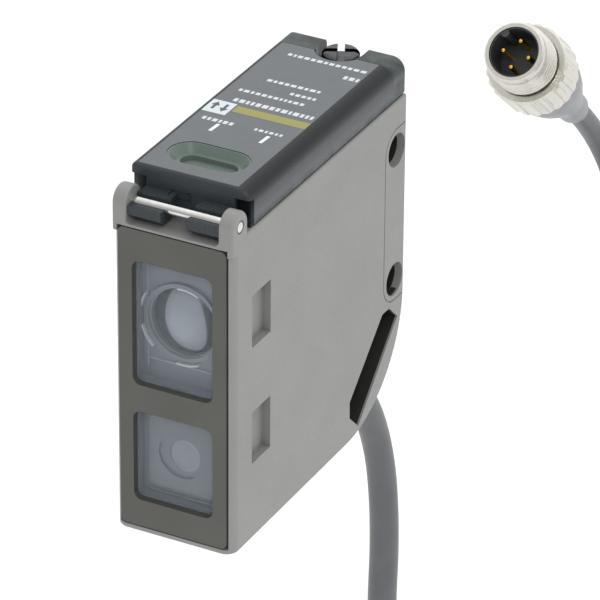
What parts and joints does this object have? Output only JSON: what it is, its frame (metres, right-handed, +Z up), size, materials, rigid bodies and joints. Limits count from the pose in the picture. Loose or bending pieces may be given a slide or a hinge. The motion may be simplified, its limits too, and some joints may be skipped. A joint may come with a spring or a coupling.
{
  "type": "photoelectric sensor",
  "caption": "Photoelectric sensor in a slim painted metal case with a hinged smoke cover, two lens windows, side mounting holes and a cord with a round threaded plug.",
  "frame": {"origin": "midway between the two side mounting holes, on the middle plane of the case", "axes": "+X across the case to its right side as seen from behind, +Y from the lens face to the rear, +Z up to the hinged cover"},
  "size_m": [0.0706, 0.2662, 0.1964],
  "materials": {
    "case_paint": "satin fine-textured grey paint on zinc die casting",
    "plate_paint": "satin dark grey paint on pressed plate",
    "window_glass": "clear moulded window",
    "gasket_rubber": "matte black",
    "holder_plastic": "dark grey moulded",
    "lens_acrylic": "clear moulded lens",
    "board": "green solder mask",
    "led_epoxy": "tinted epoxy",
    "chip_black": "moulded epoxy",
    "capacitor_can": "bare can",
    "header_plastic": "natural nylon",
    "panel_plastic": "dark grey moulded",
    "lamp_green": "tinted green",
    "lamp_orange": "tinted orange",
    "knob_plastic": "white moulded",
    "pot_body": "blue moulded",
    "selector_plastic": "white moulded",
    "smoke_plastic": "smoke tinted translucent polycarbonate",
    "label_film": "dark grey printed film with plain graphic bars",
    "pin_steel": "ground stainless steel",
    "insert_brass": "turned",
    "screw_plated": "plated pan head, cross slot",
    "washer_steel": "spring steel",
    "gland_rubber": "black moulded",
    "clamp_steel": "plated",
    "core_pvc": "brown, white, blue and black insulation",
    "cord_pvc": "light grey extruded PVC",
    "nut_nickel": "nickel-plated turned brass",
    "insert_plastic": "black moulded",
    "pin_gold": "gold-plated",
    "plug_pvc": "grey moulded over the cord end"
  },
  "bodies": {
    "case": {"case": "case_paint", "front_plate": "plate_paint", "upper_window": "window_glass", "lower_window": "window_glass", "window_gasket": "gasket_rubber", "lens_holder": "holder_plastic", "receiver_lens": "lens_acrylic", "emitter_lens": "lens_acrylic", "sensor_board": "board", "emitter_led": "led_epoxy", "position_diode": "chip_black", "main_board": "board", "processor": "chip_black", "output_transistors": "chip_black", "smoothing_capacitor": "capacitor_can", "lead_header": "header_plastic", "control_panel": "panel_plastic", "indicator_board": "board", "stability_lamp": "lamp_green", "light_lamp": "lamp_orange", "potentiometer": "pot_body", "selector_switch": "chip_black", "hinge_pin": "pin_steel", "cover_gasket": "gasket_rubber", "threaded_insert": "insert_brass", "cord_gland": "gland_rubber", "gland_clamp": "clamp_steel", "lead_cores": "core_pvc", "cord_tube": "cord_pvc", "plug_insert": "insert_plastic", "plug_pins": "pin_gold", "plug_body": "plug_pvc"},
    "cover": {"top_cover": "smoke_plastic", "label_sheet": "label_film"},
    "screw_carrier": {"captive_washer": "washer_steel"},
    "screw": {"cover_screw": "screw_plated"},
    "knob": {"distance_knob": "knob_plastic"},
    "selector": {"mode_selector": "selector_plastic"},
    "nut": {"coupling_nut": "nut_nickel"}
  },
  "joints": [
    {"name": "cover_hinge", "type": "hinge", "parent": "case", "child": "cover", "pos_m": [0, -0.0447, 0.0192], "axis": [1, 0, 0], "range_deg": [0, 110]},
    {"name": "screw_lift", "type": "slide", "parent": "cover", "child": "screw_carrier", "axis": [0, 0, 1], "range_m": [0, 0.0018]},
    {"name": "screw_turn", "type": "hinge", "parent": "screw_carrier", "child": "screw", "pos_m": [0, 0.0004, 0.0206], "axis": [0, 0, 1], "range_deg": [0, 1441]},
    {"name": "distance_turn", "type": "hinge", "parent": "case", "child": "knob", "pos_m": [0, -0.0199, 0.0166], "axis": [0, 0, 1], "range_deg": [-150, 150]},
    {"name": "selector_turn", "type": "hinge", "parent": "case", "child": "selector", "pos_m": [0, -0.0105, 0.0166], "axis": [0, 0, 1], "range_deg": [0, 90]},
    {"name": "nut_turn", "type": "hinge", "parent": "case", "child": "nut", "pos_m": [-0.0538, 0.1728, -0.0648], "axis": [-0.02, 0.7649, -0.6439], "continuous": true}
  ],
  "couplings": [
    {"joint": "screw_turn", "follows": "screw_lift", "rad_per_m": 13963}
  ]
}
